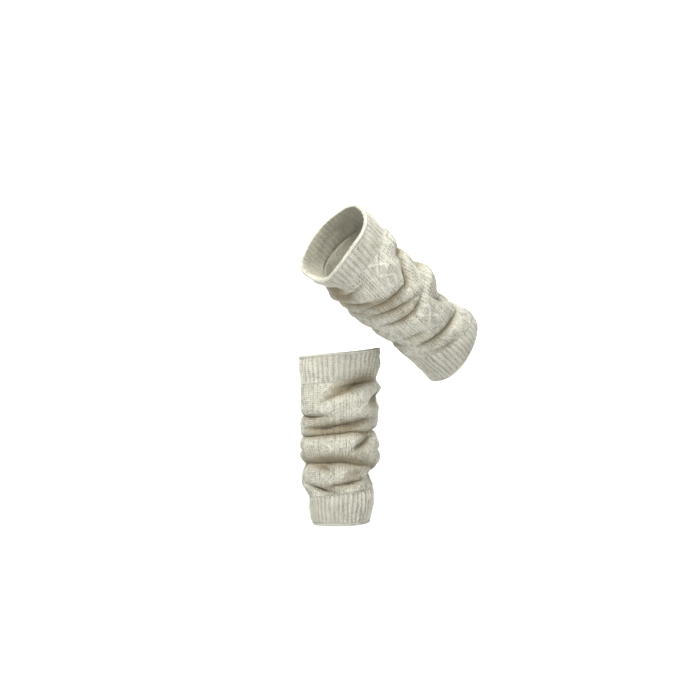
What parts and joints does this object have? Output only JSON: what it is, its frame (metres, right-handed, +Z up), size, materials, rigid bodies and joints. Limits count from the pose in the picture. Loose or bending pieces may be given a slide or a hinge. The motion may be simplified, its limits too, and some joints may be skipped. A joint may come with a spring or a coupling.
{
  "type": "leg warmer pair",
  "caption": "Pair of cream cable-knit leg warmers with ribbed cuffs, slouched into soft folds: one hangs upright, the other slants as on a raised leg.",
  "frame": {"origin": "centre of the upper mouth of the upright leg warmer, where it sits under the knee", "axes": "+Z up along the upright leg warmer towards the knee, front at -Y, +X towards the slanting leg warmer's ankle"},
  "size_m": [0.2677, 0.2427, 0.471],
  "materials": {
    "body_knit": "matt cream wool, cable knit",
    "cuff_knit": "matt cream wool, two-by-two rib"
  },
  "bodies": {
    "root": {"standing_upper_cuff": "cuff_knit", "standing_body": "body_knit", "standing_lower_cuff": "cuff_knit", "raised_upper_cuff": "cuff_knit", "raised_body": "body_knit", "raised_lower_cuff": "cuff_knit"}
  },
  "joints": []
}
